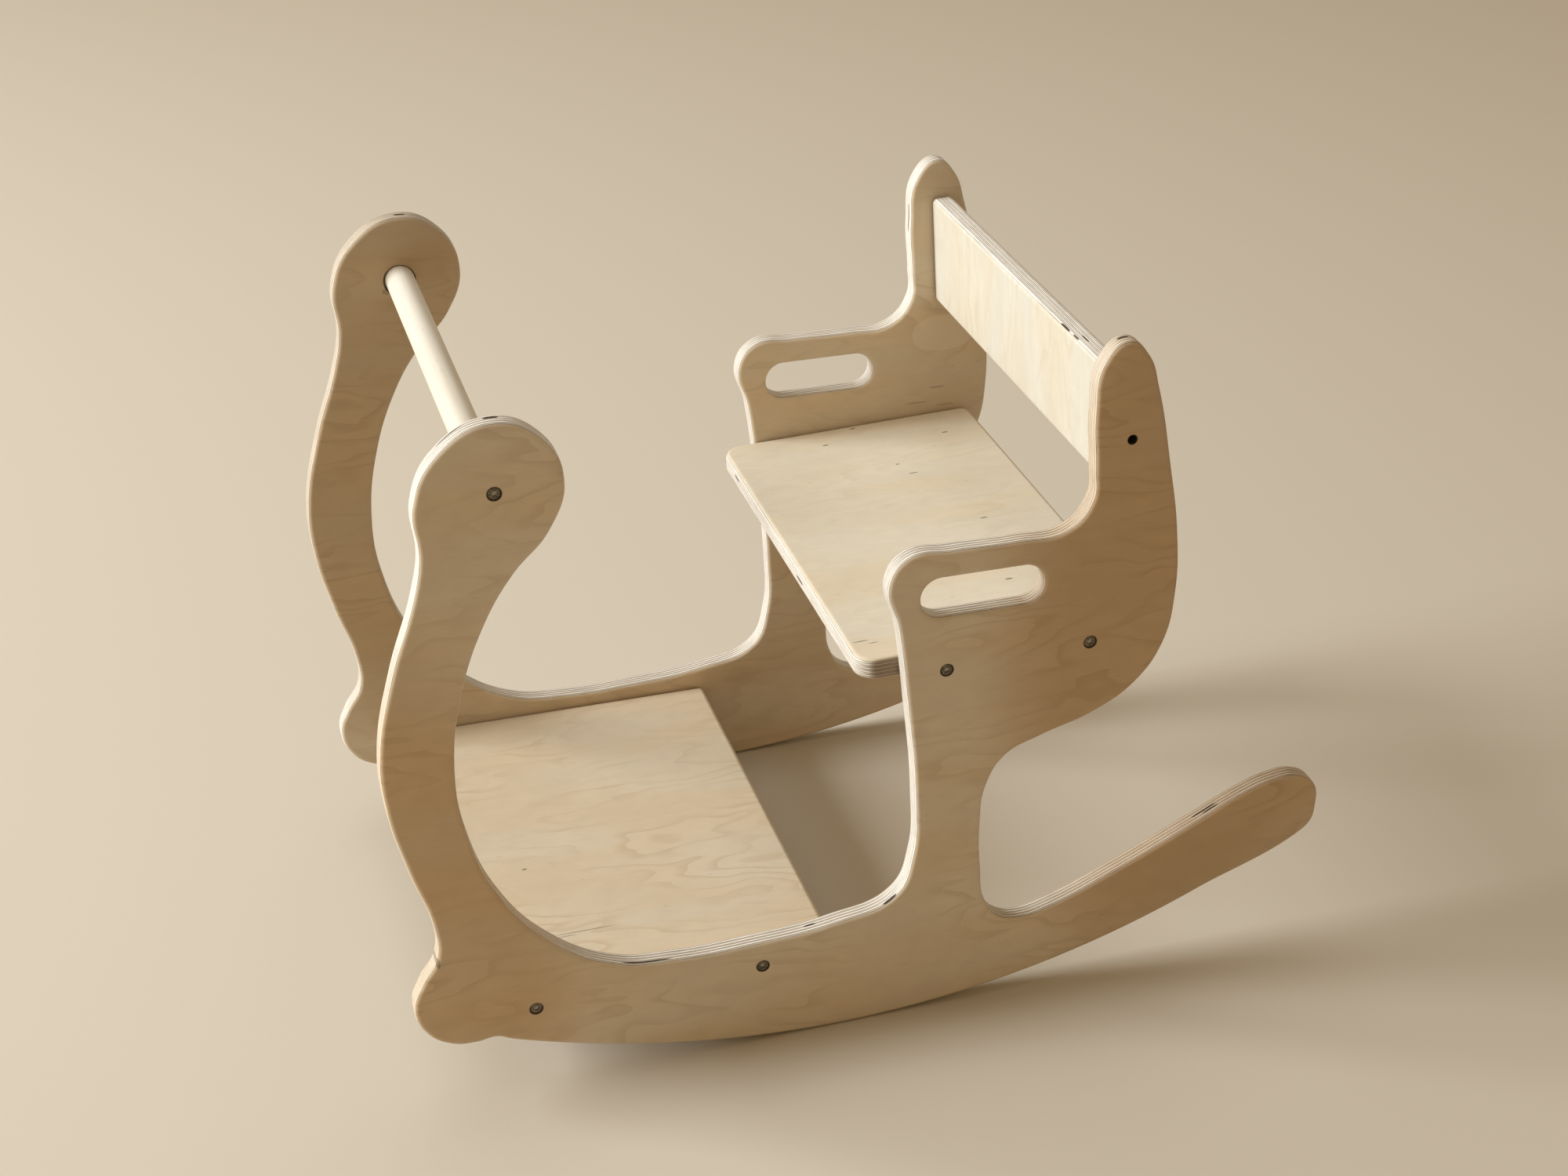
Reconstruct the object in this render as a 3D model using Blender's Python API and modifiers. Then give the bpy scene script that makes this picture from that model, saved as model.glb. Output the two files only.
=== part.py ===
"""A child's rocking horse of birch plywood.

Two identical side panels carry a seat, a foot board, a back board and a round handle.
Every board is held by screws through the panels into its ends.

+X points to the head, +Y to the horse's left side, +Z up. Lengths are in metres.
The shape is drawn with X = 0 and Z = 0 at the head screw's plumb line and the rocker's
lowest point. The whole horse is then tilted and moved so that it stands at rest on Z = 0.
"""
import math
from collections import namedtuple

import bmesh
import bpy
from mathutils import Vector

MM = 0.001

# The size that the side panel's drawing has, and the size that it is made to.
DRAWN_LENGTH = 634.6 * MM
DRAWN_HEIGHT = 476.5 * MM
BODY_LENGTH = 634.6 * MM
BODY_HEIGHT = 476.5 * MM

# Clear width between the side panels.
SEAT_SPACE = 330.0 * MM

# Plywood thickness, the round-over on every edge, and the gap left between touching pieces.
PLY = 15.0 * MM
EDGE_ROUND = 3.5 * MM
GAP = 0.3 * MM

# Rocker: an arc of short flats, so that the horse has a flat to stand on.
ROCKER_RADIUS = 640.0 * MM
ROCKER_MIDDLE = -206.5
ROCKER_FRONT_END = 12.0
ROCKER_REAR_END = -475.0
ROCKER_FLAT = 12.0 * MM
ROCKER_REST_ANGLE = math.radians(-0.81)

# Hand slot through each armrest: a stadium.
SLOT_LENGTH = 82.0 * MM
SLOT_WIDTH = 27.0 * MM
SLOT_PLACE = (-302.0, 319.0)

# Boards: depth from front to rear, corner radii seen from above, place and tilt.
SEAT_DEPTH = 193.5 * MM
SEAT_PLACE = (-322.2, 268.1)
SEAT_TILT = math.radians(2.3)
SEAT_FRONT_CORNER = 15.0 * MM
SEAT_REAR_CORNER = 8.0 * MM
SEAT_SCREWS = {"front": 43.4 * MM, "rear": -54.0 * MM}

FOOT_DEPTH = 248.0 * MM
FOOT_PLACE = (-82.0, 61.0)
FOOT_CORNER = 4.0 * MM
FOOT_SCREWS = {"front": 78.4 * MM, "rear": -73.6 * MM}

BACK_HEIGHT = 80.0 * MM
BACK_PLACE = (-396.2, 409.3)
BACK_LEAN = math.radians(3.3)
BACK_CORNER = 4.0 * MM
BACK_SCREW_RISE = 1.5 * MM

# Handle: a dowel whose ends stand in blind sockets.
HANDLE_RADIUS = 10.0 * MM
HANDLE_PLACE = (0.9, 432.0)
HANDLE_SCREW_OFFSET = Vector((-0.7 * MM, 0.7 * MM))
SOCKET_CLEARANCE = 1.2 * MM
SOCKET_OFFSET = Vector((0.2 * MM, -0.7 * MM))
SOCKET_DEPTH = 6.0 * MM

# A screw's head stands in the panel by "sink", counted from the panel's outer face.
Screw = namedtuple("Screw", "head_radius rim head_depth radius length tip sink recess_radius recess_depth")
CONNECTOR = Screw(head_radius=4.0 * MM, rim=0.8 * MM, head_depth=2.6 * MM, radius=2.5 * MM,
                  length=50.0 * MM, tip=3.0 * MM, sink=0.6 * MM, recess_radius=1.75 * MM,
                  recess_depth=2.6 * MM)
BACK_SCREW = Screw(head_radius=2.7 * MM, rim=0.4 * MM, head_depth=1.8 * MM, radius=1.75 * MM,
                   length=35.0 * MM, tip=3.0 * MM, sink=9.0 * MM, recess_radius=1.2 * MM,
                   recess_depth=1.4 * MM)

# Facets of the round shapes.
OUTLINE_STEPS = 3
SCREW_SIDES = 16
ROUND_SIDES = 24
RECESS_SIDES = 6

# Densities for the balance, in kg per cubic metre.
PLYWOOD_DENSITY = 650.0
STEEL_DENSITY = 7850.0

# The side panel's outline, in drawing millimetres, clockwise from the rocker's rear end.
# LOW points give their height above the rocker's circle, the others above the ground.
LOW_TAIL = [(-541.0, -7.0), (-551.0, -4.0), (-553.5, 6.0), (-551.0, 26.0), (-537.0, 45.0),
            (-517.0, 56.0), (-497.0, 60.0), (-460.0, 59.0), (-404.0, 53.0), (-357.0, 47.0),
            (-338.0, 47.5), (-322.5, 54.5)]
REAR_BAY = [(-311.0, 81.5), (-307.5, 107.0), (-306.0, 144.0), (-309.0, 172.0), (-321.5, 193.5),
            (-345.0, 204.0), (-382.0, 216.0), (-410.0, 233.5), (-428.0, 260.0), (-434.5, 297.0)]
BACKREST = [(-432.5, 341.0), (-424.5, 388.0), (-412.5, 444.0), (-405.0, 465.0), (-391.0, 476.5),
            (-375.5, 464.5), (-371.0, 430.0), (-373.0, 393.0), (-372.5, 371.0)]
ARMREST = [(-357.0, 353.0), (-325.0, 350.5), (-280.0, 351.0), (-251.5, 349.5), (-239.5, 332.5)]
UPRIGHT = [(-246.0, 303.0), (-253.0, 248.0), (-260.0, 172.0), (-259.0, 126.0), (-247.5, 97.5)]
FRONT_BAY = [(-205.0, 84.0), (-150.0, 79.0), (-95.0, 78.5), (-58.0, 84.0), (-19.0, 108.5),
             (13.0, 150.0), (32.5, 209.0), (35.5, 250.0), (28.0, 301.0), (10.0, 349.5)]
HEAD = [(-8.0, 378.0), (-31.0, 403.5), (-41.5, 435.0), (-29.0, 464.0), (0.0, 476.5),
        (32.5, 460.0), (47.5, 430.5), (46.5, 396.0)]
NECK = [(52.5, 368.0), (68.0, 322.0), (80.0, 268.0), (79.0, 228.0), (69.0, 181.0)]
LOW_HOOF = [(57.5, 83.0), (57.0, 56.2), (68.0, 32.1), (74.0, 12.3),
            (67.5, -5.5), (52.0, -10.5), (36.0, -6.0), (23.0, 0.5)]


def at(x, z):
    """Return a point of the drawing, given in drawing millimetres, on the made horse."""
    return Vector((x * MM * BODY_LENGTH / DRAWN_LENGTH, z * MM * BODY_HEIGHT / DRAWN_HEIGHT))


def rocker_centre():
    """Return the centre of the rocker's circle, whose lowest point is at Z = 0."""
    return Vector((at(ROCKER_MIDDLE, 0.0).x, ROCKER_RADIUS))


def above_rocker(x, rise):
    """Return the point over drawing place x that stands rise millimetres above the circle."""
    centre = rocker_centre()
    across = at(x, 0.0).x - centre.x
    circle = centre.y - math.sqrt(ROCKER_RADIUS ** 2 - across ** 2)
    return Vector((at(x, 0.0).x, circle + rise * MM))


def rocker_corners():
    """Return the corners between the rocker's flats, from the front to the rear."""
    centre = rocker_centre()
    step = ROCKER_FLAT / ROCKER_RADIUS
    reach = at(ROCKER_FRONT_END, 0.0).x - centre.x
    front = math.asin(reach / ROCKER_RADIUS) - ROCKER_REST_ANGLE
    reach = centre.x - at(ROCKER_REAR_END, 0.0).x
    rear = math.asin(reach / ROCKER_RADIUS) + ROCKER_REST_ANGLE
    corners = []
    for turn in range(int(front / step), -int(rear / step) - 1, -1):
        angle = ROCKER_REST_ANGLE + (turn + 0.5) * step
        corners.append(centre + ROCKER_RADIUS * Vector((math.sin(angle), -math.cos(angle))))
    return corners


def arc(centre, radius, start, turn, steps):
    """Return the points of an arc, both ends included; the angles are in degrees."""
    points = []
    for step in range(steps + 1):
        angle = math.radians(start + turn * step / steps)
        points.append(centre + radius * Vector((math.cos(angle), math.sin(angle))))
    return points


def stadium(centre, length, width):
    """Return a stadium's outline: two half circles joined by straight sides."""
    offset = Vector(((length - width) / 2, 0.0))
    return (arc(centre + offset, width / 2, -90.0, 180.0, 9)
            + arc(centre - offset, width / 2, 90.0, 180.0, 9))


def rounded_rectangle(depth, width, front, rear):
    """Return a board's outline: X is its depth, Y its width, and the corners are rounded."""
    points = []
    for quarter, (x, y, radius) in enumerate([(1, 1, front), (-1, 1, rear),
                                              (-1, -1, rear), (1, -1, front)]):
        corner = Vector((x * (depth / 2 - radius), y * (width / 2 - radius)))
        points += arc(corner, radius, 90.0 * quarter, 90.0, 4)
    return points


def make_collection(name):
    """Add a new collection to the scene."""
    collection = bpy.data.collections.new(name)
    bpy.context.scene.collection.children.link(collection)
    return collection


def make_material(name, colour, roughness, metallic):
    """Return a Principled material of one colour."""
    material = bpy.data.materials.new(name)
    material.use_nodes = True
    shader = material.node_tree.nodes["Principled BSDF"]
    shader.inputs["Base Color"].default_value = (*colour, 1.0)
    shader.inputs["Roughness"].default_value = roughness
    shader.inputs["Metallic"].default_value = metallic
    return material


def plywood(name, tone):
    """Return a birch plywood finish, lighter or darker by tone."""
    return make_material(name + "_birch", (0.62 * tone, 0.49 * tone, 0.32 * tone), 0.55, 0.0)


def place(piece, collection, frame, location, rotation):
    """Put an object in the drawing's frame."""
    collection.objects.link(piece)
    piece.parent = frame
    piece.location = location
    piece.rotation_euler = rotation


def flat_curve(name, thickness):
    """Return an empty 2D curve for a plate whose edges are rounded over inside its outline."""
    curve = bpy.data.curves.new(name, "CURVE")
    curve.dimensions = "2D"
    curve.fill_mode = "BOTH"
    curve.resolution_u = OUTLINE_STEPS
    curve.extrude = thickness / 2 - EDGE_ROUND
    curve.bevel_depth = EDGE_ROUND
    curve.bevel_resolution = 1
    curve.offset = -EDGE_ROUND
    return curve


def add_corners(curve, points):
    """Add a closed run of straight sides to a curve."""
    spline = curve.splines.new("POLY")
    spline.points.add(len(points) - 1)
    for target, point in zip(spline.points, points):
        target.co = (point.x, point.y, 0.0, 1.0)
    spline.use_cyclic_u = True


def add_outline(curve, corners, smooth):
    """Add a closed Bezier outline: straight between the corners, smooth through the rest."""
    spline = curve.splines.new("BEZIER")
    spline.bezier_points.add(len(corners) + len(smooth) - 1)
    for target, point in zip(spline.bezier_points, corners + smooth):
        target.co = (point.x, point.y, 0.0)
    for index, target in enumerate(spline.bezier_points):
        kind = "VECTOR" if 0 < index < len(corners) - 1 else "AUTO"
        target.handle_left_type = kind
        target.handle_right_type = kind
    spline.use_cyclic_u = True


def as_mesh(curve, name, collection, frame, location, rotation):
    """Turn a plate's curve into a closed mesh object that stands in its place."""
    drawn = bpy.data.objects.new(name + "_curve", curve)
    place(drawn, collection, frame, location, rotation)
    bpy.context.view_layer.update()
    evaluated = drawn.evaluated_get(bpy.context.evaluated_depsgraph_get())
    mesh = bpy.data.meshes.new_from_object(evaluated)
    weld = bmesh.new()
    weld.from_mesh(mesh)
    bmesh.ops.remove_doubles(weld, verts=weld.verts, dist=0.00001)
    weld.to_mesh(mesh)
    weld.free()
    mesh.name = name
    piece = bpy.data.objects.new(name, mesh)
    collection.objects.link(piece)
    piece.parent = frame
    piece.matrix_world = drawn.matrix_world
    bpy.data.objects.remove(drawn)
    return piece


def cut(piece, cutters):
    """Cut a collection of solids out of a piece."""
    boolean = piece.modifiers.new("bores", "BOOLEAN")
    boolean.operation = "DIFFERENCE"
    boolean.solver = "EXACT"
    boolean.operand_type = "COLLECTION"
    boolean.collection = cutters


def turned(name, profile):
    """Return a round object about Z from a profile of (radius, height), top to bottom."""
    mesh = bpy.data.meshes.new(name)
    edges = [(index, index + 1) for index in range(len(profile) - 1)]
    mesh.from_pydata([(radius, 0.0, height) for radius, height in profile], edges, [])
    piece = bpy.data.objects.new(name, mesh)
    screw = piece.modifiers.new("turn", "SCREW")
    screw.axis = "Z"
    screw.angle = math.tau
    screw.steps = SCREW_SIDES
    screw.render_steps = SCREW_SIDES
    screw.use_merge_vertices = True
    screw.merge_threshold = 0.00001
    screw.use_smooth_shade = False
    return piece


def screw_profile(size):
    """Return a countersunk screw's profile, with the top of its head at height 0."""
    return [(0.0, 0.0), (size.head_radius, 0.0), (size.head_radius, -size.rim),
            (size.radius, -size.head_depth), (size.radius, size.tip - size.length),
            (0.0, -size.length)]


def bore_profile(size):
    """Return the profile of a screw's hole: its own shape with a gap, open at the top."""
    head = size.head_radius + GAP
    shank = size.radius + GAP
    mouth = size.sink + 2.0 * MM
    end = size.length + GAP
    return [(0.0, mouth), (head, mouth), (head, -size.rim - GAP), (shank, -size.head_depth - GAP),
            (shank, -end), (0.0, -end)]


def round_cutter(name, radius, depth, sides):
    """Return a cylinder about Z, from depth below its origin to depth above it."""
    mesh = bpy.data.meshes.new(name)
    solid = bmesh.new()
    bmesh.ops.create_cone(solid, cap_ends=True, segments=sides, radius1=radius, radius2=radius,
                          depth=2 * depth)
    solid.to_mesh(mesh)
    solid.free()
    return bpy.data.objects.new(name, mesh)


def hide(cutter):
    """Mark an object as a cutter."""
    cutter.hide_render = True
    cutter.display_type = "WIRE"


def screw_places():
    """Yield each screw's name, its size and its place in the drawing's plane."""
    yield "head", CONNECTOR, at(*HANDLE_PLACE) + HANDLE_SCREW_OFFSET
    for end, along in SEAT_SCREWS.items():
        yield "seat_" + end, CONNECTOR, board_point(SEAT_PLACE, SEAT_TILT, along)
    for end, along in FOOT_SCREWS.items():
        yield "foot_" + end, CONNECTOR, board_point(FOOT_PLACE, 0.0, along)
    yield "back", BACK_SCREW, board_point(BACK_PLACE, BACK_LEAN - math.pi / 2, BACK_SCREW_RISE)


def board_point(middle, tilt, along):
    """Return the point of a board's middle plane that lies along in front of its middle."""
    return at(*middle) + along * Vector((math.cos(tilt), -math.sin(tilt)))


def head_height(size):
    """Return how far a screw's head lies from the middle of the horse."""
    return SEAT_SPACE / 2 + PLY - size.sink


def add_screw(name, size, point, side, parts, frame, bores):
    """Add one screw and the cutters for its hole and its drive recess."""
    location = (point.x, side * head_height(size), point.y)
    rotation = (-side * math.pi / 2, 0.0, 0.0)
    piece = turned(name, screw_profile(size))
    place(piece, parts, frame, location, rotation)
    bore = turned(name + "_bore", bore_profile(size))
    place(bore, bores, frame, location, rotation)
    hide(bore)
    recess = make_collection(name + "_recess")
    key = round_cutter(name + "_key", size.recess_radius, size.recess_depth, RECESS_SIDES)
    place(key, recess, frame, location, rotation)
    hide(key)
    cut(piece, recess)
    piece.data.materials.append(make_material(name + "_steel", (0.55, 0.54, 0.52), 0.3, 1.0))


def panel_points():
    """Return the side panel's outline in two runs: the rocker's corners and the rest."""
    smooth = [above_rocker(*point) for point in LOW_TAIL]
    for run in (REAR_BAY, BACKREST, ARMREST, UPRIGHT, FRONT_BAY, HEAD, NECK):
        smooth += [at(*point) for point in run]
    smooth += [above_rocker(*point) for point in LOW_HOOF]
    return rocker_corners(), smooth


def add_panel(name, side, parts, frame, bores, sockets):
    """Add one side panel with its hand slot, handle socket and screw holes."""
    curve = flat_curve(name, PLY)
    corners, smooth = panel_points()
    add_outline(curve, corners, smooth)
    add_corners(curve, stadium(at(*SLOT_PLACE), SLOT_LENGTH, SLOT_WIDTH))
    location = (0.0, side * (SEAT_SPACE + PLY) / 2, 0.0)
    panel = as_mesh(curve, name, parts, frame, location, (math.pi / 2, 0.0, 0.0))
    radius = HANDLE_RADIUS + SOCKET_CLEARANCE
    socket = round_cutter(name + "_socket", radius, SOCKET_DEPTH, ROUND_SIDES)
    centre = at(*HANDLE_PLACE) + SOCKET_OFFSET
    place(socket, sockets, frame, (centre.x, side * SEAT_SPACE / 2, centre.y),
          (math.pi / 2, 0.0, 0.0))
    hide(socket)
    cut(panel, bores)
    cut(panel, sockets)
    panel.data.materials.append(plywood(name, 1.0))


def add_board(name, depth, front, rear, middle, pitch, tone, parts, frame, bores):
    """Add one board that spans the space between the panels, with its screw holes."""
    curve = flat_curve(name, PLY)
    add_corners(curve, rounded_rectangle(depth, SEAT_SPACE - 2 * GAP, front, rear))
    point = at(*middle)
    board = as_mesh(curve, name, parts, frame, (point.x, 0.0, point.y), (0.0, pitch, 0.0))
    cut(board, bores)
    board.data.materials.append(plywood(name, tone))


def add_handle(name, parts, frame, bores):
    """Add the handle, which reaches into both sockets."""
    handle = round_cutter(name, HANDLE_RADIUS, SEAT_SPACE / 2 + SOCKET_DEPTH - GAP, ROUND_SIDES)
    point = at(*HANDLE_PLACE)
    place(handle, parts, frame, (point.x, 0.0, point.y), (math.pi / 2, 0.0, 0.0))
    cut(handle, bores)
    handle.data.materials.append(make_material("handle_beech", (0.70, 0.56, 0.38), 0.5, 0.0))


def finished_mesh(piece):
    """Return a piece's evaluated mesh in world space, as a bmesh that the caller frees."""
    solid = bmesh.new()
    solid.from_object(piece, bpy.context.evaluated_depsgraph_get())
    solid.transform(piece.matrix_world)
    return solid


def centre_of_mass(pieces):
    """Return the centre of mass of the pieces, from the tetrahedra under their triangles."""
    total = 0.0
    moment = Vector()
    for piece in pieces:
        density = STEEL_DENSITY if piece.name.startswith("screw") else PLYWOOD_DENSITY
        solid = finished_mesh(piece)
        for corners in solid.calc_loop_triangles():
            a, b, c = (loop.vert.co for loop in corners)
            mass = density * a.dot(b.cross(c)) / 6
            total += mass
            moment += mass * (a + b + c) / 4
        solid.free()
    return moment / total


def rest_angle(pieces):
    """Return the angle of the rocker's flat that lies below the centre of mass."""
    balance = centre_of_mass(pieces)
    centre = rocker_centre()
    angle = math.atan2(balance.x - centre.x, centre.y - balance.z)
    step = ROCKER_FLAT / ROCKER_RADIUS
    return ROCKER_REST_ANGLE + step * round((angle - ROCKER_REST_ANGLE) / step)


def stand(frame, pieces):
    """Tilt the horse onto its resting flat and centre it over the origin, on Z = 0."""
    frame.rotation_euler.y = rest_angle(pieces)
    bpy.context.view_layer.update()
    points = []
    for piece in pieces:
        solid = finished_mesh(piece)
        points += [vertex.co.copy() for vertex in solid.verts]
        solid.free()
    low = min(point.x for point in points)
    high = max(point.x for point in points)
    frame.location = (-(low + high) / 2, 0.0, -min(point.z for point in points))
    bpy.context.view_layer.update()


def shade(pieces):
    """Shade the round pieces smooth and keep their edges sharp."""
    for piece in pieces:
        if piece.data.polygons:
            piece.data.shade_smooth()
            piece.data.set_sharp_from_angle(angle=math.radians(35.0))


def main():
    """Build the rocking horse."""
    for old in list(bpy.data.objects):
        bpy.data.objects.remove(old)
    parts = make_collection("rocking_horse")
    bores = make_collection("screw_bores")
    sockets = make_collection("handle_sockets")
    frame = bpy.data.objects.new("horse_frame", None)
    parts.objects.link(frame)
    for side, word in ((1, "left"), (-1, "right")):
        for name, size, point in screw_places():
            add_screw(f"screw_{name}_{word}", size, point, side, parts, frame, bores)
        add_panel(f"side_panel_{word}", side, parts, frame, bores, sockets)
    add_board("seat_board", SEAT_DEPTH, SEAT_FRONT_CORNER, SEAT_REAR_CORNER, SEAT_PLACE,
              SEAT_TILT, 1.1, parts, frame, bores)
    add_board("foot_board", FOOT_DEPTH, FOOT_CORNER, FOOT_CORNER, FOOT_PLACE, 0.0, 1.1,
              parts, frame, bores)
    add_board("back_board", BACK_HEIGHT, BACK_CORNER, BACK_CORNER, BACK_PLACE,
              BACK_LEAN - math.pi / 2, 1.2, parts, frame, bores)
    add_handle("handle_bar", parts, frame, bores)
    pieces = [piece for piece in parts.objects if piece.type == "MESH"]
    shade(pieces)
    bpy.context.view_layer.update()
    stand(frame, pieces)


main()
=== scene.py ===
"""Looks of a child's rocking horse in clear-lacquered birch plywood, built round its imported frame.

The horse's drawing has X to the head, Y to the horse's left and Z up, in millimetres, with the
rocker's lowest point at height 0. Stance carries the drawing into the frame's metres.
"""
from __future__ import annotations

import logging
import math
from dataclasses import dataclass, field, replace
from enum import Enum
from typing import Iterable

import bmesh
import bpy
from mathutils import Matrix, Vector

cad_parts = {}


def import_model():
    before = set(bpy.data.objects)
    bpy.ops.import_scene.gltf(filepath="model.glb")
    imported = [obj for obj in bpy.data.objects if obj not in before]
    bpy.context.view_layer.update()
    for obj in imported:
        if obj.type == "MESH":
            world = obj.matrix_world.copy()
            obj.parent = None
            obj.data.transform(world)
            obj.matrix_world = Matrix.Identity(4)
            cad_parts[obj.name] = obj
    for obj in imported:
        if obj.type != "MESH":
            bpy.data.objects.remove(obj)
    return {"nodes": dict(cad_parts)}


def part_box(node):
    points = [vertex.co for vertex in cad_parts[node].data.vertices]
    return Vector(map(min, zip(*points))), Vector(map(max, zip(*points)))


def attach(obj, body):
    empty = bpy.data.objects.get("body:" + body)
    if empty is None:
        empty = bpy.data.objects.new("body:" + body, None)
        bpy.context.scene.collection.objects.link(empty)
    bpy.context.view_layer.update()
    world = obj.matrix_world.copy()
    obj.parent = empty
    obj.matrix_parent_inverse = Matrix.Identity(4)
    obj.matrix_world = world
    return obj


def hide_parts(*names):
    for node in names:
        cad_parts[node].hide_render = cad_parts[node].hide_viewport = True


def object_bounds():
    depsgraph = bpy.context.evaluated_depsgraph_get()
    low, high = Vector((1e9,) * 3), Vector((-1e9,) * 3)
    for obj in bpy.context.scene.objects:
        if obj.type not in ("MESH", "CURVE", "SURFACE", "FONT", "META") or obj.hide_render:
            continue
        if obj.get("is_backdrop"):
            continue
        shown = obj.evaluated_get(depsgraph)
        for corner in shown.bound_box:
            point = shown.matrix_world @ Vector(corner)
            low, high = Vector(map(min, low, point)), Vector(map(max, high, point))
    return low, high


Three = tuple[float, float, float]
Four = tuple[float, float, float, float]

MM = 0.001
ARC_STEPS = 40
SLOT_STEPS = 64
CORNER_STEPS = 12
SCREW_SIDES = 40
SOCKET_SIDES = 64
HANDLE_SIDES = 72
KEY_SIDES = 6
LOG = logging.getLogger("rocking_horse")


class Side(Enum):
    """The horse's two sides, as the sign of Y."""

    LEFT = 1
    RIGHT = -1

    @property
    def word(self) -> str:
        """The side's name in lower case."""
        return self.name.lower()


@dataclass(frozen=True)
class Stance:
    """Where the drawing stands in the frame.

    Attributes:
        tilt: The horse's pitch at rest, in radians.
        shift: The drawing's origin in the frame, in metres.
    """

    tilt: float
    shift: Vector

    @classmethod
    def from_handle(cls, tilt: float, place: tuple[float, float]) -> "Stance":
        """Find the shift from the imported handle.

        Args:
            tilt: The horse's pitch at rest, in radians.
            place: The handle's axis in the drawing, in millimetres.

        Returns:
            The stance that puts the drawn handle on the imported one.
        """
        low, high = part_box("handle_bar")
        middle = (low + high) / 2
        turned = Matrix.Rotation(tilt, 3, "Y") @ Vector((place[0] * MM, 0.0, place[1] * MM))
        return cls(tilt, Vector((middle.x - turned.x, 0.0, middle.z - turned.z)))

    def matrix(self, x: float = 0.0, y: float = 0.0, z: float = 0.0, pitch: float = 0.0) -> Matrix:
        """Return the placement of something at a drawing place, pitched about Y.

        Args:
            x: Place along the horse, in millimetres.
            y: Place across the horse, in millimetres.
            z: Height, in millimetres.
            pitch: Extra pitch in radians.

        Returns:
            The 4x4 placement in the frame, for meshes in metres.
        """
        return (Matrix.Translation(self.shift) @ Matrix.Rotation(self.tilt, 4, "Y")
                @ Matrix.Translation((x * MM, y * MM, z * MM)) @ Matrix.Rotation(pitch, 4, "Y"))


class Wire:
    """A shader socket that takes part in Python arithmetic."""

    def __init__(self, shader: "Shader", socket: bpy.types.NodeSocket) -> None:
        """Wrap a socket.

        Args:
            shader: The shader that the socket belongs to.
            socket: The output socket.
        """
        self.shader = shader
        self.socket = socket

    def _math(self, operation: str, *terms: "Wire | float") -> "Wire":
        """Return a Math node of the operation on the terms."""
        settings = {"operation": operation}
        return self.shader.node("ShaderNodeMath", settings, dict(enumerate(terms)))

    def __add__(self, other: "Wire | float") -> "Wire":
        """Return the sum."""
        return self._math("ADD", self, other)

    def __sub__(self, other: "Wire | float") -> "Wire":
        """Return the difference."""
        return self._math("SUBTRACT", self, other)

    def __rsub__(self, other: float) -> "Wire":
        """Return a number minus this value."""
        return self._math("SUBTRACT", other, self)

    def __mul__(self, other: "Wire | float") -> "Wire":
        """Return the product."""
        return self._math("MULTIPLY", self, other)

    def __truediv__(self, other: "Wire | float") -> "Wire":
        """Return the quotient."""
        return self._math("DIVIDE", self, other)

    def __pow__(self, other: "Wire | float") -> "Wire":
        """Return the power."""
        return self._math("POWER", self, other)

    def __mod__(self, other: float) -> "Wire":
        """Return the remainder, never negative."""
        return self._math("FLOORED_MODULO", self, other)

    def __abs__(self) -> "Wire":
        """Return the size without its sign."""
        return self._math("ABSOLUTE", self)

    __radd__ = __add__
    __rmul__ = __mul__

    def floor(self) -> "Wire":
        """Return the whole number below."""
        return self._math("FLOOR", self)

    def larger(self, other: "Wire | float") -> "Wire":
        """Return the larger of two values."""
        return self._math("MAXIMUM", self, other)

    def rise(self, start: float, end: float) -> "Wire":
        """Return a smooth 0 to 1 as the value goes from start to end.

        Args:
            start: The value at which the result is 0.
            end: The value at which the result is 1; it may be below start.

        Returns:
            The eased value, held at 0 and 1 outside the range.
        """
        low, high = min(start, end), max(start, end)
        settings = {"interpolation_type": "SMOOTHSTEP"}
        eased = self.shader.node("ShaderNodeMapRange", settings,
                                 {"Value": self, "From Min": low, "From Max": high})
        return eased if end > start else 1.0 - eased


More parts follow.
